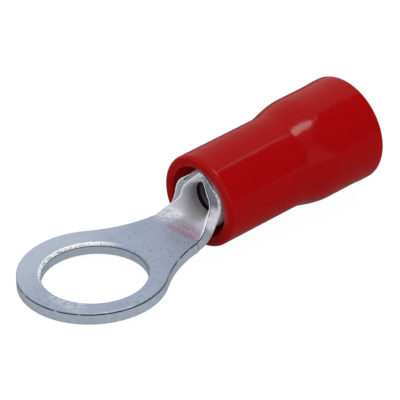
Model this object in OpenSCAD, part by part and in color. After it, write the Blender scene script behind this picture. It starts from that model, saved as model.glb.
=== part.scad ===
// Insulated ring terminal: one stamped and rolled sheet-metal terminal
// in one moulded funnel-entry sleeve.
// Frame: origin at the centre of the stud hole on the underside of the ring,
// +X towards the wire entry, +Z up along the stud. Millimetres.

/* [Sheet] */
// Thickness of the sheet that the terminal is stamped from
sheet_t = 0.65; // [0.55:0.05:0.75]
// Radius of the rolled-over edge that the punch leaves round the stud hole
edge_roll = 0.15; // [0.05:0.05:0.25]

/* [Stud ring] */
// Radius of the stud hole
hole_r = 2.65; // [2.2:0.05:2.75]
// Outer radius of the ring
ring_r = 3.75; // [3.6:0.05:4.3]
// How far the punched hole sits to the -Y side of the centreline
hole_drift = 0.15; // [0:0.05:0.2]

/* [Neck] */
// Distance from the ring centre to where the sheet starts to roll up
neck_len = 4.85; // [4.6:0.05:6.2]
// Width of the neck at its narrowest
neck_w = 3.27; // [3:0.03:3.6]
// Radius of the inside curve that leads from the ring into the neck
neck_curve = 7; // [3:0.25:8]

/* [Barrel] */
// Radius of the bore that takes the bare wire
bore_r = 0.85; // [0.8:0.05:1.05]
// Length over which the flat sheet rolls up into the round barrel
roll_len = 2.85; // [2.6:0.05:3.3]
// How soft the start of the rolling is (1 = the same at both ends)
roll_soft = 2.4; // [1.8:0.1:2.6]
// How far the wings rise ahead of an even roll, before they are fully round
roll_ahead = 0.56; // [0.2:0.02:0.6]
// How much of that rolling is gathered into the foot of each wing
roll_gather = 0.17; // [0:0.01:0.3]
// How much the tips of the wings stay straight, like a pointed arch
roll_point = 0.15; // [0:0.01:0.2]
// Distance from the start of the roll to the front edge of the barrel's wings
wing_back = 2.2; // [2.1:0.05:2.4]
// Radius of the inside corner where the neck meets the wings, in the flat blank
wing_corner = 0.45; // [0.3:0.05:0.6]
// How much the front edge of each wing leans back as it leaves its foot, per mm
wing_lean = 0.16; // [0:0.01:0.18]
// How much that front edge bows forward again towards the seam, per square mm
wing_bow = 0.07; // [0:0.005:0.08]
// Length of the barrel from the wings' front edge to its rear end
barrel_len = 5.05; // [4:0.05:6]
// Width of the butt seam along the top of the barrel
seam_gap = 0.04; // [0.03:0.01:0.1]

/* [Grip grooves] */
// Number of grip grooves round the bore
groove_n = 3; // [1:1:4]
// Width of each groove
groove_w = 0.4; // [0.25:0.05:0.5]
// Depth of each groove
groove_d = 0.17; // [0.16:0.01:0.25]
// Distance from one groove to the next
groove_pitch = 1.1; // [0.8:0.05:1.1]
// Distance from the end of the roll to the first groove
groove_start = 0.1; // [0.1:0.05:0.4]

/* [Sleeve] */
// Radial gap between the barrel and the sleeve that grips it
sleeve_fit = 0.02; // [0.01:0.01:0.05]
// How far the sleeve's front face lies behind the wings' front edge
sleeve_set = 0; // [0:0.05:0.2]
// Overall length of the sleeve
sleeve_len = 10.46; // [9.5:0.02:12]
// Wall of the sleeve round the barrel
sleeve_wall = 0.94; // [0.8:0.02:1.1]
// Radius of the sleeve's front opening, where it clears the wings
mouth_r = 2.0; // [1.95:0.05:2.1]
// Rounding of the sleeve's front outer edge
front_round = 0.25; // [0.1:0.05:0.5]
// Thickness of the lip that the rear end of the barrel butts against
lip_t = 0.3; // [0.2:0.05:0.5]
// How far the wire hole in that lip is wider than the bore, in radius
lip_clear = 0.2; // [0.2:0.05:0.4]

/* [Funnel] */
// Inside radius of the funnel at the wire entry
funnel_r = 2.3; // [2.1:0.05:2.5]
// Wall of the funnel
funnel_wall = 0.5; // [0.4:0.05:0.6]
// Distance from the rear end of the barrel to where the outside flares out
flare_start = 0.4; // [0.2:0.05:0.8]
// Length of the outside flare
flare_len = 1.9; // [1.4:0.1:2.4]
// Length of the inside cone that leads the wire into the bore
cone_len = 2.1; // [1.4:0.1:2.6]
// Extra outside radius of the rolled rim at the wire entry
rim_swell = 0.03; // [0:0.01:0.08]
// Rounding of the rim's outer edge
rim_round = 0.22; // [0.1:0.02:0.25]

/* [Hidden] */
$fn = 96;
axis_y = hole_drift;                      // centreline of ring, neck and barrel
barrel_r = bore_r + sheet_t;
axis_z = barrel_r;                        // barrel lies flush with the underside
mid_r = bore_r + sheet_t / 2;             // middle of the rolled sheet
seam_s = mid_r * PI - seam_gap / 2;       // half width of the blank at the barrel
roll_x = neck_len;
round_x = roll_x + roll_len;
wing_x = roll_x + wing_back;
barrel_end = wing_x + barrel_len;
eps = 0.01;                               // how deep the rolled part sinks in its ends
root = 0.15;                              // how far the neck starts inside the ring's edge
overlap = 0.1;                            // how far the rolled part runs into its ends

// ---------- the flat blank ----------
// Centre of the inside curve: it touches the ring and the straight neck.
half_neck = neck_w / 2;
curve_c = [sqrt(pow(ring_r + neck_curve, 2) - pow(half_neck + neck_curve, 2)),
           half_neck + neck_curve];
function neck_half(x) = curve_c[1] - sqrt(pow(neck_curve, 2) - pow(min(x - curve_c[0], 0), 2));

function arc(c, r, a0, a1, n = 8) =
    [for (i = [0:n]) c + r * [cos(a0 + (a1 - a0) * i / n), sin(a0 + (a1 - a0) * i / n)]];

// One side of the neck, from just inside the ring to where the sheet rolls up.
neck_side = concat([curve_c / norm(curve_c) * (ring_r - root)],
    [for (p = arc(curve_c, neck_curve, 180 + atan2(curve_c[1], curve_c[0]),
                  270 - asin(max(curve_c[0] - roll_x, 0) / neck_curve), 14))
        if (norm(p) > ring_r + 0.002 && p[0] < roll_x - 0.01) p],
    [[roll_x, neck_half(roll_x)]]);

// Stud hole, with the edge that the punch rolls over at the top.
module stud_cut() {
    roll_c = [hole_r + edge_roll, sheet_t - edge_roll];
    rotate_extrude() polygon(concat([[0, -1], [hole_r, -1]],
        arc(roll_c, edge_roll, 180, 90), [[roll_c[0], sheet_t + 1], [0, sheet_t + 1]]));
}

module tongue() {
    difference() {
        translate([0, axis_y, 0]) union() {
            cylinder(r = ring_r, h = sheet_t);
            linear_extrude(sheet_t) polygon(concat(neck_side,
                [for (i = [len(neck_side) - 1:-1:0]) [neck_side[i][0], -neck_side[i][1]]]));
        }
        stud_cut();
    }
}

// ---------- rolling the sheet up into the barrel ----------
function ease(u) = let (c = min(max(u, 0), 1)) c * c * (3 - 2 * c);
// share of the full turn that the sheet has made at x
function rolled(x) = pow(ease((x - roll_x) / roll_len), roll_soft);
// slope of the section at the distance s from the middle of the blank
function slope(x, s) = let (t = rolled(x), g = 180 * s / (mid_r * PI)) t * (g + (1 - t) * 180
    * (roll_ahead * sin(g) - roll_gather * sin(2 * g) + roll_point * sin(3 * g)));
steps = 16;
weights = [for (i = [0:steps]) (i == 0 || i == steps ? 1 : i % 2 == 1 ? 4 : 2) / steps / 3];
// middle of the sheet, by adding up its slope
function mid_pt(x, s) = let (a = [for (i = [0:steps]) slope(x, s * i / steps)])
    [x, s * ([for (v = a) cos(v)] * weights),
     sheet_t / 2 + s * ([for (v = a) sin(v)] * weights)];
function unit(v) = v / norm(v);
function skin(x, s, off) = let (h = 0.001, v = slope(x, s))
    mid_pt(x, s) + off * unit(cross(mid_pt(x + h, s) - mid_pt(x - h, s), [0, cos(v), sin(v)]));

// The rolled part is a grid of rows across the blank. Each row ends on the
// blank's side, which has four runs: neck side, inside corner, wing front, seam.
run_n = [14, 8, 6, 6];
rows = run_n[0] + run_n[1] + run_n[2] + run_n[3];
cols = 40;
start_x = roll_x - overlap;
end_x = round_x + overlap;
corner_x = wing_x - wing_corner;
corner_s = neck_half(corner_x);
wing_s = corner_s + wing_corner;
function front_x(s) = wing_x + wing_lean * (s - wing_s) - wing_bow * pow(s - wing_s, 2);
seam_x = front_x(seam_s);
bow_x = wing_x + 0.3;                     // middle of the row that ends at the wing's foot
tip_x = (bow_x + end_x) / 2;              // middle of the row that ends at the wing's tip
function run_of(i, k = 0) = i <= run_n[k] || k == 3 ? [k, i / run_n[k]] : run_of(i - run_n[k], k + 1);
function row_side(i) = let (r = run_of(i), u = r[1])
    r[0] == 0 ? let (x = start_x + (corner_x - start_x) * u) [x, neck_half(x)]
    : r[0] == 1 ? [corner_x + wing_corner * sin(90 * u), corner_s + wing_corner * (1 - cos(90 * u))]
    : r[0] == 2 ? let (s = wing_s + (seam_s - wing_s) * u) [front_x(s), s]
    : [seam_x + (end_x - seam_x) * u, seam_s];
function row_middle(i) = let (r = run_of(i), stops = [start_x, corner_x, bow_x, tip_x, end_x])
    stops[r[0]] + (stops[r[0] + 1] - stops[r[0]]) * r[1];
function grid_pt(i, j, off) = let (
        u = 2 * j / cols - 1, side = row_side(i), mid = row_middle(i))
    skin(mid + (side[0] - mid) * u * u, u * (side[1] - eps), off);

module rolled_sheet() {
    n = cols + 1;
    half = sheet_t / 2 - eps;
    under = (rows + 1) * n;
    pts = [for (off = [half, -half]) for (i = [0:rows]) for (j = [0:cols]) grid_pt(i, j, off)];
    faces = concat(
        [for (i = [0:rows - 1]) for (j = [0:cols - 1]) let (a = i * n + j) each
            [[a, a + 1, a + n + 1], [a, a + n + 1, a + n],
             [under + a, under + a + n + 1, under + a + 1], [under + a, under + a + n, under + a + n + 1]]],
        [for (i = [0:rows - 1]) for (j = [0, cols]) let (a = i * n + j, b = a + n) each
            j == 0 ? [[a, b, under + b], [a, under + b, under + a]]
                   : [[a, under + b, b], [a, under + a, under + b]]],
        [for (j = [0:cols - 1]) for (i = [0, rows]) let (a = i * n + j, b = a + 1) each
            i == 0 ? [[a, under + b, b], [a, under + a, under + b]]
                   : [[a, b, under + b], [a, under + b, under + a]]]);
    polyhedron(points = pts, faces = faces, convexity = 6);
}

// ---------- the round barrel ----------
module along_x(x) { translate([x, axis_y, axis_z]) rotate([0, 90, 0]) children(); }

module barrel() {
    difference() {
        along_x(round_x) cylinder(r = barrel_r, h = barrel_end - round_x);
        along_x(round_x - 1) cylinder(r = bore_r, h = barrel_end - round_x + 2);
        for (k = [0:groove_n - 1])
            along_x(round_x + groove_start + k * groove_pitch)
                cylinder(r = bore_r + groove_d, h = groove_w);
        translate([round_x - 1, axis_y - seam_gap / 2, axis_z])
            cube([barrel_end - round_x + 2, seam_gap, barrel_r + 1]);
    }
}

module terminal() {
    color([0.66, 0.68, 0.72]) union() {
        tongue();
        translate([0, axis_y, 0]) rolled_sheet();
        barrel();
    }
}

// ---------- the sleeve ----------
sleeve_x = wing_x + sleeve_set;
sleeve_end = sleeve_x + sleeve_len;
grip_r = barrel_r + sleeve_fit;
neck_r = grip_r + sleeve_wall;
lip_x = barrel_end + sleeve_fit;
lip_r = bore_r + lip_clear;
cone_x = lip_x + lip_t;
flare_x = barrel_end + flare_start;
wide_r = funnel_r + funnel_wall;
rim_r = wide_r + rim_swell;
rim_in = (funnel_wall + rim_swell - rim_round) * 0.9;  // rounding of the rim's inner edge
rim_run = 1.4;                            // the wide part swells into the rim over half of this
mouth_end = round_x + 0.15;               // where the front opening has closed in on the barrel

// outside flare: leaves the narrow part at once and eases into the wide part
function flare_pts(n = 12) = [for (i = [0:n]) let (u = i / n)
    [flare_x + flare_len * u,
     neck_r + (wide_r - neck_r) * (0.75 * sin(90 * u) + 0.25 * ease(u))]];
// inside cone: eases out of the lip and into the funnel
function cone_pts(n = 10) = [for (i = [n:-1:0]) let (u = i / n)
    [cone_x + cone_len * u, lip_r + (funnel_r - lip_r) * (0.5 * u + 0.5 * ease(u))]];

module sleeve() {
    color([0.62, 0.03, 0.04])
    along_x(0) rotate_extrude() rotate(90) mirror([0, 1, 0]) polygon(concat(
        [[sleeve_x, mouth_r]],
        arc([sleeve_x + front_round, neck_r - front_round], front_round, 180, 90),
        flare_pts(),
        [[sleeve_end - rim_run, wide_r], [sleeve_end - rim_run / 2, rim_r]],
        arc([sleeve_end - rim_round, rim_r - rim_round], rim_round, 90, 0),
        arc([sleeve_end - rim_in, funnel_r + rim_in], rim_in, 0, -90, 5),
        cone_pts(),
        [[lip_x, lip_r], [lip_x, grip_r], [mouth_end, grip_r]]));
}

terminal();
sleeve();
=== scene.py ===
"""Looks of an insulated ring terminal: a stamped and rolled tin-plated terminal in a moulded red sleeve."""
import math

import bmesh
import bpy
import numpy as np
from mathutils import Matrix, Vector
from mathutils.geometry import delaunay_2d_cdt


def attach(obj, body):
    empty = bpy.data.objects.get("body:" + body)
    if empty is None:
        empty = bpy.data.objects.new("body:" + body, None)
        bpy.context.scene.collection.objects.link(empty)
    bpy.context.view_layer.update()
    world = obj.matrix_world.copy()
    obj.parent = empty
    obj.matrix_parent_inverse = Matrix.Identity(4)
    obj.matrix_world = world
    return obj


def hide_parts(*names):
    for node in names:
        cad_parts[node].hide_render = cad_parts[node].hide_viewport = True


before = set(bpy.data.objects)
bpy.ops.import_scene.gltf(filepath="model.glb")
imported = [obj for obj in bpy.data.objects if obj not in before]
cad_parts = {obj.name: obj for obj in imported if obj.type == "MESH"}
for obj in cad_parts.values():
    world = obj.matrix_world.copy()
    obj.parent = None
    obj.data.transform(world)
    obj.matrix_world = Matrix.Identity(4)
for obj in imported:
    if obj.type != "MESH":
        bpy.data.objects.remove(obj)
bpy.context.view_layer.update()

MM = 0.001

# ---------- sizes in millimetres, as the parts are made ----------
SHEET = 0.65                      # thickness of the sheet
RING_R = 3.75
HOLE_R = 2.65
HOLE_DRIFT = 0.15                 # the punched hole sits this far to the -Y side of the centreline
PUNCH_ROLL = 0.15                 # rolled-over edge round the stud hole
NECK_LEN = 4.85                   # the sheet starts to roll up here
HALF_NECK = 3.27 / 2
NECK_CURVE = 7.0
BORE_R = 0.85
ROLL_LEN = 2.85                   # and is a round barrel after this length
ROLL_SOFT, ROLL_AHEAD, ROLL_GATHER, ROLL_POINT = 2.4, 0.56, 0.17, 0.15
WING_X = NECK_LEN + 2.2
WING_CORNER = 0.45
WING_LEAN, WING_BOW = 0.16, 0.07
CREASE_X = 5.5                    # the forming tool leaves a nick in both edges here
BARREL_END = WING_X + 5.05
SEAM_GAP = 0.04
GROOVES = 3
GROOVE_W, GROOVE_D, GROOVE_PITCH = 0.4, 0.17, 1.1

# The wings' tips are squeezed thin from COIN_X to just behind the wings' front edge
COIN_X, COIN_RUN, COIN_BEHIND, COIN_FADE = 6.0, 0.6, 0.15, 0.55
OUTER_S, OUTER_RUN, OUTER_THIN = 2.3, 0.9, 0.62
INNER_S, INNER_RUN, INNER_THIN = 2.7, 0.95, 0.6
FAR_TIP_SHIFT, NEAR_TIP_SHIFT = (0.18, -0.33, 0.2), (0, 0, 0.08)
FAR_FOOT_SHIFT = -0.26

MID_R = BORE_R + SHEET / 2
BARREL_R = BORE_R + SHEET
SEAM_S = MID_R * math.pi - SEAM_GAP / 2
ROUND_X = NECK_LEN + ROLL_LEN
GROOVE_X = ROUND_X + 0.1
AXIS_Y, AXIS_Z = HOLE_DRIFT, BARREL_R

SLEEVE_X = WING_X
SLEEVE_END = SLEEVE_X + 10.46
GRIP_R = BARREL_R + 0.02
SLEEVE_R = GRIP_R + 0.94
MOUTH_R, FRONT_ROUND = 1.88, 0.25
LIP_X, LIP_T, LIP_R = BARREL_END + 0.02, 0.3, BORE_R + 0.2
CONE_X, CONE_LEN = LIP_X + LIP_T, 2.1
FLARE_X, FLARE_LEN = BARREL_END + 0.4, 1.9
FUNNEL_R, FUNNEL_WALL = 2.3, 0.5
FUNNEL_OUT = FUNNEL_R + FUNNEL_WALL
RIM_SWELL, RIM_ROUND = 0.03, 0.22


def ease(u):
    """Smooth step from 0 to 1."""
    c = np.clip(u, 0, 1)
    return c * c * (3 - 2 * c)


def arc(cx, cy, r, a0, a1, n):
    """Points of an arc from the angle a0 to a1, in degrees."""
    return [(cx + r * math.cos(math.radians(a0 + (a1 - a0) * i / n)),
             cy + r * math.sin(math.radians(a0 + (a1 - a0) * i / n))) for i in range(n + 1)]


# ---------- camera ----------
AIM = Vector((7.29, 0.22, 1.5)) * MM
EYE_AZIMUTH, EYE_HEIGHT, EYE_ROLL = -42.46, 31.81, -1.43     # degrees
EYE_DISTANCE = 174.73 * MM
LENS = 315.0
NEAR_CLIP, FAR_CLIP = 0.01, 5


def direction(azimuth, height):
    """Unit vector for an azimuth counted from +X and a height, both in degrees."""
    a, e = math.radians(azimuth), math.radians(height)
    return Vector((math.cos(a) * math.cos(e), math.sin(a) * math.cos(e), math.sin(e)))


def add_camera():
    a, e = math.radians(EYE_AZIMUTH), math.radians(EYE_HEIGHT)
    back = Vector((math.sin(a) * math.cos(e), -math.cos(a) * math.cos(e), math.sin(e)))
    cam = bpy.data.objects.new("camera", bpy.data.cameras.new("camera"))
    turn = (-back).to_track_quat("-Z", "Y").to_matrix() @ Matrix.Rotation(math.radians(EYE_ROLL), 3, "Z")
    cam.matrix_world = Matrix.Translation(AIM + back * EYE_DISTANCE) @ turn.to_4x4()
    cam.data.lens = LENS
    cam.data.clip_start, cam.data.clip_end = NEAR_CLIP, FAR_CLIP
    bpy.context.scene.collection.objects.link(cam)
    bpy.context.scene.camera = cam


# ---------- node helpers ----------
def new_material(name):
    mat = bpy.data.materials.new(name)
    mat.use_nodes = True
    mat.node_tree.nodes.clear()
    return mat, mat.node_tree


def node(tree, kind, inputs=(), **settings):
    """Adds a node, sets its properties and its inputs: a value, or another node's output to link."""
    n = tree.nodes.new(kind)
    for key, value in settings.items():
        setattr(n, key, value)
    for key, value in dict(inputs).items():
        if isinstance(value, bpy.types.NodeSocket):
            tree.links.new(value, n.inputs[key])
        else:
            n.inputs[key].default_value = value
    return n


def maths(tree, operation, a, b=0.0, c=0.0):
    n = node(tree, "ShaderNodeMath", operation=operation)
    for i, value in enumerate((a, b, c)):
        if isinstance(value, bpy.types.NodeSocket):
            tree.links.new(value, n.inputs[i])
        else:
            n.inputs[i].default_value = value
    return n.outputs[0]


def product(tree, *values):
    """Product of two or more values, from left to right."""
    out = values[0]
    for value in values[1:]:
        out = maths(tree, "MULTIPLY", out, value)
    return out


def mix_colour(tree, fac, a, b):
    n = node(tree, "ShaderNodeMix", data_type="RGBA")
    for i, value in zip((0, 6, 7), (fac, a, b)):
        if isinstance(value, bpy.types.NodeSocket):
            tree.links.new(value, n.inputs[i])
        else:
            n.inputs[i].default_value = value
    return n.outputs[2]


def rgb(r, g, b):
    """Linear colour from display values of 0 to 255."""
    return tuple((c / 255 / 12.92 if c <= 10 else ((c / 255 + 0.055) / 1.055) ** 2.4)
                 for c in (r, g, b)) + (1.0,)


def paint(tree, tone, share, colour):
    """Lays a colour, given by its display values, over tone by the given share."""
    return mix_colour(tree, share, tone, rgb(*colour))


# ---------- finishes ----------
SKIN_METAL, RING_EDGE_METAL = 0.8, 0.15       # share of metal in the plating's skins and in the ring's edge
METAL_RELIEF, PEEL_RELIEF = 0.00003, 0.000006
PIT_AT = (7.13, 2.92, 0.3)                    # pit in the far wing's cut edge, on the blank, in mm


def blank_place(t):
    """Where a point lies on the flat blank, in mm: along it, across it and above its underside."""
    n = node(t, "ShaderNodeAttribute", attribute_name="blank", attribute_type="GEOMETRY")
    return n.outputs["Vector"], node(t, "ShaderNodeSeparateXYZ", {0: n.outputs["Vector"]}).outputs


def noise(t, at, scale, detail=2.0, rough=0.5):
    return node(t, "ShaderNodeTexNoise", {
        "Vector": at, "Scale": scale, "Detail": detail, "Roughness": rough}).outputs["Fac"]


def stretched(t, at, sx, sy, sz):
    return node(t, "ShaderNodeVectorMath", {0: at, 1: (sx, sy, sz)}, operation="MULTIPLY").outputs[0]


def window(t, value, low, high, soft):
    """1 where the value lies between low and high, 0 outside, with soft ends."""
    up = node(t, "ShaderNodeMapRange", {"Value": value, "From Min": low - soft, "From Max": low + soft})
    down = node(t, "ShaderNodeMapRange", {
        "Value": value, "From Min": high - soft, "From Max": high + soft, "To Min": 1.0, "To Max": 0.0})
    return maths(t, "MULTIPLY", up.outputs[0], down.outputs[0])


def above(t, value, low, high):
    """0 up to low, 1 from high on."""
    return node(t, "ShaderNodeMapRange", {"Value": value, "From Min": low, "From Max": high}).outputs[0]


def below(t, value, low, high):
    """1 up to low, 0 from high on."""
    return maths(t, "SUBTRACT", 1.0, above(t, value, low, high))


def length_of(t, vector):
    return node(t, "ShaderNodeVectorMath", {0: vector}, operation="LENGTH").outputs["Value"]


def metal(t, tone, rough, bump, metallic):
    bsdf = node(t, "ShaderNodeBsdfPrincipled", {
        "Base Color": tone, "Metallic": metallic, "Roughness": rough, "Normal": bump})
    node(t, "ShaderNodeOutputMaterial", {"Surface": bsdf.outputs[0]})


def bump_of(t, height, depth):
    return node(t, "ShaderNodeBump", {"Height": height, "Strength": 1.0, "Distance": depth}).outputs[0]


def bend_scratches(t, at, x, s):
    """Fine marks of the forming tool, straight across the blank where it starts to bend."""
    lines = noise(t, stretched(t, at, 9.0, 0.35, 0.0), 1.0, 3.0, 0.7)
    zone = product(t, window(t, x, 5.35, 6.35, 0.12), window(t, s, -1.7, 0.5, 0.35))
    return product(t, maths(t, "SUBTRACT", lines, 0.5), zone), zone


def from_hole(t, at):
    """Distance on the blank from the centre of the stud hole."""
    flat = stretched(t, at, 1, 1, 0)
    centred = node(t, "ShaderNodeVectorMath", {0: flat, 1: (0, HOLE_DRIFT, 0)}).outputs[0]
    return length_of(t, centred)


def hole_side(t, at):
    """1 on the wall of the stud hole, 0 on the outer edge."""
    return below(t, from_hole(t, at), HOLE_R + 0.2, HOLE_R + 0.3)


def wing_rim_highlights(t, at, x, s, h):
    """Painted highlights on the wings' edges: the inner one all the way, the outer one broken into dots, and
    the tips.
    """
    glint_beads = above(t, noise(t, at, 6.0, 2.0, 0.6), 0.42, 0.55)
    inner = product(t, window(t, h, SHEET - 0.1, SHEET - 0.006, 0.01), window(t, x, 5.6, 7.35, 0.1))
    outer = product(t, above(t, x, 6.5, 6.9), glint_beads, below(t, h, 0.08, 0.14))
    tips = product(t, above(t, s, 2.95, 3.15), above(t, x, 6.0, 6.5), glint_beads)
    return maths(t, "MINIMUM", maths(t, "ADD", maths(t, "ADD", inner, outer), tips), 1.0)


def plating_tone(t, at, x, s, cloud, mottle, zone):
    """Cloudy plating: pink where the tool rubbed it; painted light: warm in the trough, paler on the far side
    of the ring, white glints; painted shade inside the barrel.
    """
    tone = mix_colour(t, cloud, rgb(184, 200, 222), rgb(203, 215, 239))
    tone = paint(t, tone, above(t, mottle, 0.56, 0.78), (160, 168, 184))
    tone = paint(t, tone, product(t, zone, above(t, mottle, 0.2, 0.6)), (196, 160, 182))
    # painted light: a pale, warm tone in the trough
    tone = paint(t, tone, product(t, above(t, x, 6.0, 7.0), 0.8), (208, 204, 206))
    specks = above(t, noise(t, at, 3.7, 1.0), 0.73, 0.77)
    tone = paint(t, tone, product(t, specks, 0.55), (100, 106, 124))
    # painted glints: white specks over the plating
    painted_glints = above(t, noise(t, at, 6.3, 1.0), 0.7, 0.75)
    tone = paint(t, tone, painted_glints, (236, 242, 255))
    # painted light: the far side of the ring paler
    far_ring_painted_light = product(t, above(t, s, 0.0, 2.6), below(t, x, 1.5, 4.0))
    tone = paint(t, tone, product(t, far_ring_painted_light, 0.7), (226, 236, 252))
    # painted shade: dark reddish tone inside the barrel, past the first groove
    return paint(t, tone, above(t, x, GROOVE_X, GROOVE_X + 0.1), (96, 84, 92))


def hole_rim_glint(t, away, s, grain):
    """Painted highlight: a bright broken line round the far side of the stud hole."""
    ring = product(t, window(t, away, HOLE_R - 0.1, HOLE_R + 0.15, 0.03), above(t, s, 0.6, 1.8))
    return product(t, ring, above(t, grain, 0.4, 0.52))


def worn_patches(t, tone, x, s, mottle):
    """Pale rubbed places: on the near side of the ring's tip, and at the far foot of the bend."""
    worn = product(t, window(t, x, -3.1, -1.8, 0.2), window(t, s, -2.2, -0.1, 0.3))
    tone = paint(t, tone, product(t, worn, above(t, mottle, 0.42, 0.6)), (236, 242, 252))
    scuff = product(t, window(t, x, 5.6, 6.6, 0.25), window(t, s, 0.7, 1.7, 0.25))
    return paint(t, tone, product(t, scuff, above(t, mottle, 0.4, 0.55)), (250, 250, 255))


def plating_height(t, away, cloud, mottle, grain, lines):
    """Relief of the plating: grainy, most of all round the stud hole, with the tool's scratches."""
    grain_depth = maths(t, "MULTIPLY_ADD", below(t, away, HOLE_R + 0.1, HOLE_R + 0.5), 0.9, 0.35)
    height = maths(t, "MULTIPLY_ADD", grain, grain_depth, maths(t, "MULTIPLY_ADD", mottle, 0.8, cloud))
    return maths(t, "MULTIPLY_ADD", lines, 1.6, height)


def tin_plating():
    """Plating on both skins of the sheet. The painted glints and highlights and the trough's painted light get
    a smaller share of metal, so they read.
    """
    mat, t = new_material("tin_plating")
    at, (x, s, h) = blank_place(t)
    cloud = noise(t, at, 1.1, 3.0)
    mottle = noise(t, at, 5.0, 3.0, 0.6)
    grain = noise(t, at, 11.0, 2.0, 0.6)
    away = from_hole(t, at)
    lines, zone = bend_scratches(t, at, x, s)
    # painted glint on the front lip of the first groove
    lip_glint = window(t, x, GROOVE_X - 0.09, GROOVE_X - 0.01, 0.015)
    # painted highlight round the far side of the stud hole
    rim_glint = hole_rim_glint(t, away, s, grain)
    tone = plating_tone(t, at, x, s, cloud, mottle, zone)
    # painted highlights along the wings' edges
    tone = paint(t, tone, wing_rim_highlights(t, at, x, s, h), (252, 252, 255))
    tone = paint(t, tone, lip_glint, (250, 240, 232))
    tone = paint(t, tone, rim_glint, (255, 255, 255))
    tone = worn_patches(t, tone, x, s, mottle)
    # painted light: less metal in the trough, so it reads lighter
    trough = product(t, window(t, x, 6.3, GROOVE_X, 0.3), 0.7)
    marks = maths(t, "MAXIMUM", maths(t, "MAXIMUM", lip_glint, rim_glint), trough)
    share = maths(t, "MULTIPLY_ADD", marks, -0.75, SKIN_METAL)
    rough = maths(t, "MULTIPLY_ADD", mottle, 0.2, 0.26)
    bump = bump_of(t, plating_height(t, away, cloud, mottle, grain, lines), METAL_RELIEF)
    metal(t, tone, rough, bump, share)
    return mat


def edge_tone(t, s, streaks, patch, wing, bright):
    """Streaked cut edge: patchy on the wings, with a painted highlight at the near wing's corner and painted
    shade above it.
    """
    tone = mix_colour(t, streaks, rgb(164, 178, 192), rgb(190, 202, 216))
    tone = paint(t, tone, product(t, wing, above(t, patch, 0.5, 0.62)), (226, 224, 236))
    # painted highlight at the near wing's corner
    tone = paint(t, tone, product(t, bright, above(t, patch, 0.3, 0.5)), (240, 238, 252))
    # painted shade on the near wing's cut edge, above its corner
    dull = product(t, wing, window(t, s, -3.4, -2.1, 0.15))
    return paint(t, tone, product(t, dull, 0.75), (112, 118, 132))


def painted_edge_shade(t, at, x, h):
    """Painted shade: dark lines along the top of the edge, at the crease and in the hole; and the far wing's
    pit.
    """
    rim = product(t, window(t, h, 0.53, 0.66, 0.012), above(t, noise(t, at, 2.0), 0.3, 0.42))
    crease = window(t, x, CREASE_X - 0.03, CREASE_X + 0.02, 0.012)
    off = node(t, "ShaderNodeVectorMath", {0: at, 1: PIT_AT}, operation="SUBTRACT").outputs[0]
    pit = window(t, length_of(t, stretched(t, off, 0.3, 1, 1)), 0.05, 0.12, 0.02)
    shear = product(t, window(t, h, 0.455, 0.52, 0.012), hole_side(t, at))
    marks = maths(t, "ADD", maths(t, "ADD", rim, crease), maths(t, "ADD", pit, shear))
    return maths(t, "MINIMUM", marks, 1.0)


def cut_edge():
    """Sheared edge of the sheet, all round the blank and in the stud hole."""
    mat, t = new_material("sheared_edge")
    at, (x, s, h) = blank_place(t)
    streaks = noise(t, stretched(t, at, 4.0, 4.0, 0.5), 1.0, 3.0, 0.6)
    patch = noise(t, at, 5.5, 3.0, 0.65)
    wing = above(t, x, 6.3, 6.9)
    # painted highlight at the near wing's corner
    bright = product(t, window(t, x, 6.4, 7.2, 0.1), window(t, s, -2.1, 0.0, 0.1))
    # painted glints in dots along the lower edge of the wings
    glint_beads = product(t, wing, below(t, h, 0.14, 0.2), above(t, noise(t, at, 7.0), 0.36, 0.48))
    tone = edge_tone(t, s, streaks, patch, wing, bright)
    tone = paint(t, tone, glint_beads, (255, 255, 255))
    # painted shade lines along the edges, and the far wing's pit
    tone = paint(t, tone, painted_edge_shade(t, at, x, h), (44, 50, 64))
    base = maths(t, "MULTIPLY_ADD", above(t, x, 5.5, 6.3), 0.25, RING_EDGE_METAL)
    share = maths(t, "MULTIPLY_ADD", maths(t, "MAXIMUM", glint_beads, bright), -0.25, base)
    rough = maths(t, "MULTIPLY_ADD", patch, 0.25, 0.22)
    height = maths(t, "MULTIPLY_ADD", product(t, wing, patch), 2.0, streaks)
    metal(t, tone, rough, bump_of(t, height, METAL_RELIEF), share)
    return mat


def red_pvc():
    """Smooth moulded plastic with a faint orange peel."""
    mat, t = new_material("red_pvc")
    at = node(t, "ShaderNodeTexCoord").outputs["Object"]
    peel = noise(t, at, 2600.0, 3.0)
    cloud = noise(t, at, 300.0)
    tone = mix_colour(t, cloud, rgb(156, 2, 5), rgb(164, 3, 7))
    rough = maths(t, "MULTIPLY_ADD", peel, 0.1, 0.09)
    bsdf = node(t, "ShaderNodeBsdfPrincipled", {
        "Base Color": tone, "Roughness": rough, "IOR": 1.45, "Specular IOR Level": 0.2,
        "Normal": bump_of(t, peel, PEEL_RELIEF)})
    node(t, "ShaderNodeOutputMaterial", {"Surface": bsdf.outputs[0]})
    return mat


# ---------- the sheet ----------
def slope(x, s):
    """Slope of the rolled section at x, at the distance s from the middle of the blank, in radians."""
    t = ease((x - NECK_LEN) / ROLL_LEN) ** ROLL_SOFT
    g = s / MID_R
    bend = ROLL_AHEAD * np.sin(g) - ROLL_GATHER * np.sin(2 * g) + ROLL_POINT * np.sin(3 * g)
    return t * (g + (1 - t) * math.pi * bend)


def middle(x, s, steps=24):
    """Middle of the sheet at the blank's point (x, s), by adding up the slope."""
    w = np.ones(steps + 1)
    w[1:-1:2] = 4
    w[2:-1:2] = 2
    w /= 3 * steps
    a = slope(x[:, None], s[:, None] * np.linspace(0, 1, steps + 1))
    return np.stack([x, s * (np.cos(a) @ w), SHEET / 2 + s * (np.sin(a) @ w)], 1)


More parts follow.
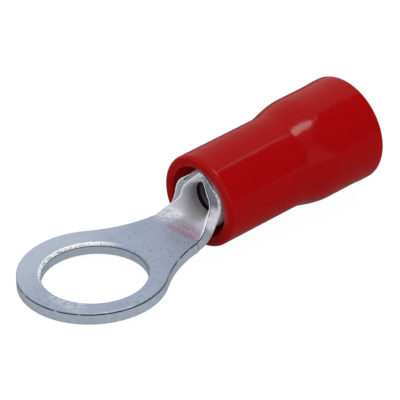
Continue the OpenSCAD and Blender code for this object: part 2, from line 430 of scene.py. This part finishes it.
def on_sheet(x, s, height):
    """Blank point (x, s) at the given height above the underside, rolled up into place."""
    h = 0.001
    a = slope(x, s)
    along = middle(x + h, s) - middle(x - h, s)
    across = np.stack([np.zeros_like(a), np.cos(a), np.sin(a)], 1)
    out = np.cross(along, across)
    out /= np.linalg.norm(out, axis=1)[:, None]
    up = height - SHEET / 2
    front = ease((x - COIN_X) / COIN_RUN) * (1 - ease((x - WING_X - COIN_BEHIND) / COIN_FADE))
    low = np.clip(0.5 - up / SHEET, 0, 1) * front
    reach = ease((abs(s) - OUTER_S) / OUTER_RUN)
    outer, inner = front * reach, front * ease((abs(s) - INNER_S) / INNER_RUN)
    thin = np.where(up < 0, 1 - OUTER_THIN * outer, 1 - INNER_THIN * inner)
    far = s > 0
    lift = inner[:, None] * np.where(far[:, None], FAR_TIP_SHIFT, NEAR_TIP_SHIFT)
    foot = np.stack([np.where(far, FAR_FOOT_SHIFT, 0.0) * low * (1 - reach), 0 * s, 0 * s], 1)
    return middle(x, s) + out * (up * thin)[:, None] + lift + foot + (0, AXIS_Y, 0)


def front_x(s, wing_s):
    """Front edge of a wing on the blank: it leans, and bows a little."""
    return WING_X + WING_LEAN * (s - wing_s) - WING_BOW * (s - wing_s) ** 2


def blank_outline(step=0.07):
    """Outline of the flat blank, counter-clockwise, as evenly spaced points (x, s)."""
    cx = math.sqrt((RING_R + NECK_CURVE) ** 2 - (HALF_NECK + NECK_CURVE) ** 2)
    cy = HALF_NECK + NECK_CURVE
    meet = math.degrees(math.atan2(cy, cx))
    corner_x = WING_X - WING_CORNER
    curve = [p for p in arc(cx, cy, NECK_CURVE, 180 + meet, 270, 60) if p[0] < corner_x - 0.05]
    wing_s = HALF_NECK + WING_CORNER
    tip = 0.1                     # rounding of the wing's tip
    front = [(front_x(v, wing_s), v) for v in np.linspace(wing_s, SEAM_S - tip, 20)[1:-1]]
    tip_x = front_x(SEAM_S, wing_s)
    side = (arc(0, 0, RING_R, 180, meet, 120) + curve
            + arc(corner_x, wing_s, WING_CORNER, -90, 0, 16) + front
            + arc(tip_x + tip, SEAM_S - tip, tip, 180, 90, 6)
            + arc(BARREL_END - 0.08, SEAM_S - 0.08, 0.08, 90, 0, 4))
    half = np.array(side[::-1])
    whole = even(np.concatenate([half, half[::-1][1:] * (1, -1)]), step)
    past = whole[:, 0] - CREASE_X
    nick = np.where(past > 0, 0.035 * (1 - ease(past / 0.7)), -0.02 * (1 - ease(-past / 0.25)))
    neck = (abs(whole[:, 1]) < 2.1) & (whole[:, 0] > 4) & (whole[:, 0] < WING_X)
    return whole + inward(whole) * (nick * neck)[:, None]


def even(points, step):
    """Spreads points evenly along a closed outline."""
    ring = np.vstack([points, points[:1]])
    run = np.concatenate([[0], np.cumsum(np.linalg.norm(np.diff(ring, axis=0), axis=1))])
    n = int(run[-1] / step)
    at = np.linspace(0, run[-1], n, endpoint=False)
    return np.stack([np.interp(at, run, ring[:, 0]), np.interp(at, run, ring[:, 1])], 1)


def inward(outline):
    """Unit normals of a counter-clockwise outline, pointing into the sheet."""
    d = np.roll(outline, -1, 0) - np.roll(outline, 1, 0)
    d /= np.linalg.norm(d, axis=1)[:, None]
    return np.stack([-d[:, 1], d[:, 0]], 1)


def groove(x):
    """Depth of the grip grooves in the upper skin."""
    depth = np.zeros_like(x)
    for k in range(GROOVES):
        a = GROOVE_X + k * GROOVE_PITCH
        depth = np.maximum(depth, GROOVE_D * np.clip(np.minimum(x - a, a + GROOVE_W - x) / 0.03, 0, 1))
    return depth


def edge_profile(top, under, n=6):
    """Section of a cut edge from the underside to the top: rows of (distance in from the edge, height).

    The two rounded edges, top and under, may differ from point to point of the outline."""
    turn = np.linspace(0, math.pi / 2, n)[:, None]
    low = np.stack([under * (1 - np.sin(turn)), under * (1 - np.cos(turn))], 2)
    high = np.stack([top * (1 - np.cos(turn)), SHEET - top * (1 - np.sin(turn))], 2)
    rise = np.linspace(0, 1, 8)[1:-1, None]
    wall = np.stack([0 * rise * top, under + (SHEET - under - top) * rise], 2)
    return np.concatenate([low, wall, high])


def rim_rounding(line):
    """Rounding of the outline's top and lower edges: sharp along the neck, soft at the wings."""
    wing = ease((line[:, 0] - CREASE_X) / 0.8) * (line[:, 0] < BARREL_END - 0.5)
    ring = ease((3.2 - line[:, 0]) / 1.5)
    return 0.035 + 0.045 * wing + 0.02 * ring, 0.05 + 0.05 * wing


def sheet_mesh():
    """Points, faces, cut-edge flags and blank positions of the whole sheet."""
    rim = blank_outline()
    hole = np.array(arc(0, -HOLE_DRIFT, HOLE_R, 0, -360, 260)[:-1])
    full = np.ones(len(hole))
    loops = [(rim, inward(rim), edge_profile(*rim_rounding(rim))),
             (hole, inward(hole), edge_profile(full * PUNCH_ROLL, full * 0.04))]
    spots, faces, cut, ends = [], [], [], []
    count = 0
    for line, inside, profile in loops:
        n = len(line)
        for row in profile:
            spots.append(np.column_stack([line + inside * row[:, :1], row[:, 1]]))
        for k in range(len(profile) - 1):
            for i in range(n):
                a, b = count + k * n + i, count + k * n + (i + 1) % n
                faces.append((a, b, b + n, a + n))
                cut.append(4 <= k < 12)
        ends.append((count, count + (len(profile) - 1) * n, n))
        count += n * len(profile)
    for level in (0, 1):
        verts, tris, known = skin_points(np.concatenate(spots), ends, loops, level)
        extra = verts[len(known):]
        index = list(known) + list(range(count, count + len(extra)))
        spots.append(np.column_stack([extra, np.full(len(extra), SHEET * level)]))
        for a, b, c in tris:
            faces.append((index[a], index[b], index[c]) if level else (index[a], index[c], index[b]))
            cut.append(False)
        count += len(extra)
    blank = np.concatenate(spots)
    x, s, h = blank.T
    h = h - groove(x) * (h > SHEET * 0.9)
    return on_sheet(x, s, h) * MM, faces, cut, blank


def fill_points(level, step=0.09):
    """Even grid over the blank, with rows on the shoulders of the grip grooves."""
    rows = np.arange(-RING_R, BARREL_END, step)
    if level:
        for k in range(GROOVES):
            a = GROOVE_X + k * GROOVE_PITCH
            rows = rows[(abs(rows - a) > 0.05) & (abs(rows - a - GROOVE_W) > 0.05)]
            rows = np.concatenate([rows, [a, a + 0.03, a + GROOVE_W - 0.03, a + GROOVE_W]])
    across = np.arange(-SEAM_S, SEAM_S + step, step)
    return [v.ravel() for v in np.meshgrid(rows, across)]


def skin_points(blank, ends, loops, level):
    """Fills one skin of the sheet, between its outer edge and the stud hole, with an even mesh."""
    known, edges = [], []
    for start in ends:
        first, n = start[level], start[2]
        base = len(known)
        known += list(range(first, first + n))
        edges += [(base + i, base + (i + 1) % n) for i in range(n)]
    flat = blank[:, :2]
    pts = [Vector(flat[i]) for i in known]
    for line, inside, profile in loops:
        depth = profile[-1 if level else 0][:, :1]
        for extra in (0.03, 0.08):
            pts += [Vector(p) for p in line + inside * (depth + extra)]
    X, S = fill_points(level)
    keep = inside_of(X, S, [line + inside * (profile[-1 if level else 0][:, :1] + 0.12)
                            for line, inside, profile in loops])
    pts += [Vector(p) for p in zip(X[keep], S[keep])]
    verts, _, tris, orig, _, _ = delaunay_2d_cdt(pts, edges, [], 1, 1e-6)
    verts = np.array([tuple(v) for v in verts])
    made = {old: new for new, olds in enumerate(orig) for old in olds}
    lead = [made[i] for i in range(len(known))]
    rest = sorted(set(range(len(verts))) - set(lead))
    place = {old: new for new, old in enumerate(lead + rest)}
    centre = np.array([verts[list(t)].mean(0) for t in tris])
    rings = [flat[e[level]:e[level] + e[2]] for e in ends]
    good = inside_of(centre[:, 0], centre[:, 1], rings)
    return verts[lead + rest], [tuple(place[v] for v in t) for t, ok in zip(tris, good) if ok], known


def inside_of(X, S, rings):
    """True where a point lies inside an odd number of the rings."""
    odd = np.zeros(len(X), bool)
    for ring in rings:
        r = np.array(ring)
        q = np.roll(r, -1, 0)
        for (x0, y0), (x1, y1) in zip(r, q):
            if y0 != y1:
                hit = ((y0 > S) != (y1 > S)) & (X < (x1 - x0) * (S - y0) / (y1 - y0) + x0)
                odd ^= hit
    return odd


def mesh_object(name, verts, faces, materials, slot_of):
    mesh = bpy.data.meshes.new(name)
    mesh.from_pydata([tuple(v) for v in verts], [], [list(map(int, f)) for f in faces])
    for m in materials:
        mesh.materials.append(m)
    mesh.polygons.foreach_set("material_index", slot_of)
    mesh.polygons.foreach_set("use_smooth", [True] * len(mesh.polygons))
    mesh.update()
    piece = bpy.data.objects.new(name, mesh)
    bpy.context.scene.collection.objects.link(piece)
    return piece


def add_terminal():
    verts, faces, cut, blank = sheet_mesh()
    piece = mesh_object("terminal_sheet", verts, faces, [tin_plating(), cut_edge()], [int(c) for c in cut])
    check_closed(piece)
    place = piece.data.attributes.new("blank", "FLOAT_VECTOR", "POINT")
    place.data.foreach_set("vector", blank.astype(np.float32).ravel())
    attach(piece, "root")
    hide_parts("terminal")


def check_closed(piece):
    """Turns the mesh outwards and stops if it has an open edge."""
    bm = bmesh.new()
    bm.from_mesh(piece.data)
    if bm.calc_volume(signed=True) < 0:
        bmesh.ops.reverse_faces(bm, faces=bm.faces)
    open_edges = sum(1 for e in bm.edges if not e.is_manifold)
    if open_edges:
        raise ValueError(f"{piece.name} has {open_edges} open edges")
    bm.to_mesh(piece.data)
    bm.free()


# ---------- the sleeve ----------
def sleeve_profile():
    """Section of the sleeve as (x, radius), round its wall."""
    flare = [(FLARE_X + FLARE_LEN * u, SLEEVE_R + (FUNNEL_OUT - SLEEVE_R)
              * (0.75 * math.sin(math.pi / 2 * u) + 0.25 * float(ease(u)))) for u in np.linspace(0, 1, 25)]
    cone = [(CONE_X + CONE_LEN * u, LIP_R + (FUNNEL_R - LIP_R) * (0.5 * u + 0.5 * float(ease(u))))
            for u in np.linspace(1, 0, 21)]
    rim_r = FUNNEL_OUT + RIM_SWELL
    rim_in = (FUNNEL_WALL + RIM_SWELL - RIM_ROUND) * 0.9
    return ([(SLEEVE_X + 0.3, MOUTH_R - 0.005)] + arc(SLEEVE_X + 0.14, MOUTH_R + 0.14, 0.14, 270, 180, 6)
            + arc(SLEEVE_X + FRONT_ROUND, SLEEVE_R - FRONT_ROUND, FRONT_ROUND, 180, 90, 12) + flare
            + [(SLEEVE_END - 1.4, FUNNEL_OUT), (SLEEVE_END - 1.05, FUNNEL_OUT + RIM_SWELL * 0.3),
               (SLEEVE_END - 0.7, rim_r)]
            + arc(SLEEVE_END - RIM_ROUND, rim_r - RIM_ROUND, RIM_ROUND, 90, 0, 8)
            + arc(SLEEVE_END - rim_in, FUNNEL_R + rim_in, rim_in, 0, -90, 8) + cone
            + [(LIP_X, LIP_R), (LIP_X, GRIP_R), (ROUND_X + 0.15, GRIP_R)])


def lathe_tree(material):
    """Geometry nodes that turn a string of points (x, radius) once round the X axis."""
    t = bpy.data.node_groups.new("lathe", "GeometryNodeTree")
    face = t.interface
    face.new_socket("Geometry", in_out="INPUT", socket_type="NodeSocketGeometry")
    sides = face.new_socket("Sides", in_out="INPUT", socket_type="NodeSocketInt")
    offset = face.new_socket("Axis", in_out="INPUT", socket_type="NodeSocketVector")
    face.new_socket("Geometry", in_out="OUTPUT", socket_type="NodeSocketGeometry")
    inp, out = node(t, "NodeGroupInput"), node(t, "NodeGroupOutput")
    size = node(t, "GeometryNodeAttributeDomainSize", {"Geometry": inp.outputs["Geometry"]})
    points = size.outputs["Point Count"]
    grid = node(t, "GeometryNodeMeshGrid", {
        "Vertices X": points, "Vertices Y": maths(t, "ADD", inp.outputs["Sides"], 1.0)})
    uv = node(t, "ShaderNodeSeparateXYZ", {0: grid.outputs["UV Map"]})
    which = maths(t, "ROUND", maths(t, "MULTIPLY", uv.outputs[0], maths(t, "SUBTRACT", points, 1.0)))
    section = node(t, "GeometryNodeSampleIndex", {
        "Geometry": inp.outputs["Geometry"], "Value": node(t, "GeometryNodeInputPosition").outputs[0],
        "Index": which}, data_type="FLOAT_VECTOR")
    at = node(t, "ShaderNodeSeparateXYZ", {0: section.outputs["Value"]})
    turn = maths(t, "MULTIPLY", uv.outputs[1], 2 * math.pi)
    round_pt = node(t, "ShaderNodeCombineXYZ", {
        0: at.outputs[0], 1: maths(t, "MULTIPLY", at.outputs[1], maths(t, "COSINE", turn)),
        2: maths(t, "MULTIPLY", at.outputs[1], maths(t, "SINE", turn))})
    placed = node(t, "ShaderNodeVectorMath", {
        0: round_pt.outputs[0], 1: inp.outputs["Axis"]}, operation="ADD")
    moved = node(t, "GeometryNodeSetPosition", {
        "Geometry": grid.outputs["Mesh"], "Position": placed.outputs[0]})
    merged = node(t, "GeometryNodeMergeByDistance", {"Geometry": moved.outputs[0], "Distance": 1e-7})
    smooth = node(t, "GeometryNodeSetShadeSmooth", {"Geometry": merged.outputs[0]})
    real = node(t, "GeometryNodeRealizeInstances", {"Geometry": smooth.outputs[0]})
    done = node(t, "GeometryNodeSetMaterial", {"Geometry": real.outputs[0], "Material": material})
    t.links.new(done.outputs[0], out.inputs[0])
    return t, sides.identifier, offset.identifier


def lathe(name, profile, material, sides=160):
    """Bakes a turned piece from its section into a plain mesh."""
    start = bpy.data.meshes.new(name + "_section")
    ring = [(x * MM, r * MM, 0) for x, r in profile + profile[:1]]
    start.from_pydata(ring, [(i, i + 1) for i in range(len(ring) - 1)], [])
    maker = bpy.data.objects.new(name + "_section", start)
    bpy.context.scene.collection.objects.link(maker)
    tree, sides_id, axis_id = lathe_tree(material)
    step = maker.modifiers.new("lathe", "NODES")
    step.node_group = tree
    step[sides_id] = sides
    step[axis_id] = (0.0, AXIS_Y * MM, AXIS_Z * MM)
    mesh = bpy.data.meshes.new_from_object(maker.evaluated_get(bpy.context.evaluated_depsgraph_get()))
    mesh.name = name
    bpy.data.objects.remove(maker)
    piece = bpy.data.objects.new(name, mesh)
    bpy.context.scene.collection.objects.link(piece)
    return piece


def add_sleeve():
    piece = lathe("red_sleeve", sleeve_profile(), red_pvc())
    check_closed(piece)
    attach(piece, "root")
    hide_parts("sleeve")


# ---------- studio ----------
WHITE = (1, 1, 1, 1)
DARK_CORNER = direction(-35, 28)
# What reflections meet, in place of the white that the camera sees: a half-bright studio and a dark floor
REFLECTED_STUDIO, REFLECTED_FLOOR = 0.5, 0.14
FLOOR_WHITE, FLOOR_SEEN_WHITE = 1.05, 0.92    # strength of the floor's white, and its share over the shadow
FLOOR_HALF = 0.6                              # in metres


def floor_finish():
    """Pale floor: plain white to the camera but for a faint shadow, and dark grey in reflections."""
    mat, t = new_material("pale_floor")
    dull = node(t, "ShaderNodeBsdfDiffuse", {"Color": (0.8, 0.8, 0.8, 1)})
    path = node(t, "ShaderNodeLightPath")
    shiny = maths(t, "MAXIMUM", path.outputs["Is Glossy Ray"], path.outputs["Is Transmission Ray"])
    white = node(t, "ShaderNodeEmission", {"Color": WHITE, "Strength": FLOOR_WHITE})
    grey = node(t, "ShaderNodeEmission", {"Color": WHITE, "Strength": REFLECTED_FLOOR})
    a = node(t, "ShaderNodeMixShader", {0: shiny, 1: dull.outputs[0], 2: grey.outputs[0]})
    seen = maths(t, "MULTIPLY", path.outputs["Is Camera Ray"], FLOOR_SEEN_WHITE)
    b = node(t, "ShaderNodeMixShader", {0: seen, 1: a.outputs[0], 2: white.outputs[0]})
    node(t, "ShaderNodeOutputMaterial", {"Surface": b.outputs[0]})
    return mat


def add_floor():
    """A floor that touches the tip of the ring and the lower front edge of the sleeve."""
    fall = max(math.atan2(r - AXIS_Z, x + RING_R) for x, r in sleeve_profile())
    mesh = bpy.data.meshes.new("floor")
    corners = [(x * FLOOR_HALF, y * FLOOR_HALF, (-RING_R * MM - x * FLOOR_HALF) * math.tan(fall))
               for x, y in ((-1, -1), (1, -1), (1, 1), (-1, 1))]
    mesh.from_pydata(corners, [], [(0, 1, 2, 3)])
    mesh.materials.append(floor_finish())
    floor = bpy.data.objects.new("floor", mesh)
    bpy.context.scene.collection.objects.link(floor)


def add_world():
    """White backdrop; in reflections a half-bright studio with one black corner on the camera's right."""
    world = bpy.data.worlds.new("studio")
    bpy.context.scene.world = world
    world.use_nodes = True
    t = world.node_tree
    t.nodes.clear()
    way = node(t, "ShaderNodeTexCoord").outputs["Generated"]
    corner = node(t, "ShaderNodeVectorMath", {
        0: way, 1: DARK_CORNER}, operation="DOT_PRODUCT").outputs["Value"]
    lit = node(t, "ShaderNodeMapRange", {
        "Value": corner, "From Min": 0.75, "From Max": 0.83,
        "To Min": REFLECTED_STUDIO, "To Max": 0.0}).outputs[0]
    height = node(t, "ShaderNodeSeparateXYZ", {0: way}).outputs[2]
    soft = maths(t, "MULTIPLY_ADD", height, 0.25, 0.75)
    path = node(t, "ShaderNodeLightPath")
    shiny = maths(t, "MAXIMUM", path.outputs["Is Glossy Ray"], path.outputs["Is Transmission Ray"])
    power = maths(t, "MULTIPLY_ADD", shiny, maths(t, "SUBTRACT", lit, soft), soft)
    power = maths(t, "MAXIMUM", path.outputs["Is Camera Ray"], power)
    back = node(t, "ShaderNodeBackground", {"Color": WHITE, "Strength": power})
    node(t, "ShaderNodeOutputWorld", {"Surface": back.outputs[0]})


def add_lamp(name, azimuth, height, distance, size, strength):
    """Soft square lamp that looks at the object."""
    way = direction(azimuth, height)
    data = bpy.data.lights.new(name, "AREA")
    data.size = size
    data.energy = strength * math.pi * size * size
    lamp = bpy.data.objects.new(name, data)
    lamp.location = AIM + way * distance
    lamp.rotation_mode = "QUATERNION"
    lamp.rotation_quaternion = way.to_track_quat("Z", "Y")
    bpy.context.scene.collection.objects.link(lamp)


def add_studio():
    add_world()
    add_floor()
    add_lamp("overhead", -40, 74, 0.30, 0.075, 9.0)
    add_lamp("overhead_end", -12, 60, 0.30, 0.025, 2.5)
    bpy.context.scene.view_settings.view_transform = "Standard"


add_camera()
add_terminal()
add_sleeve()
add_studio()
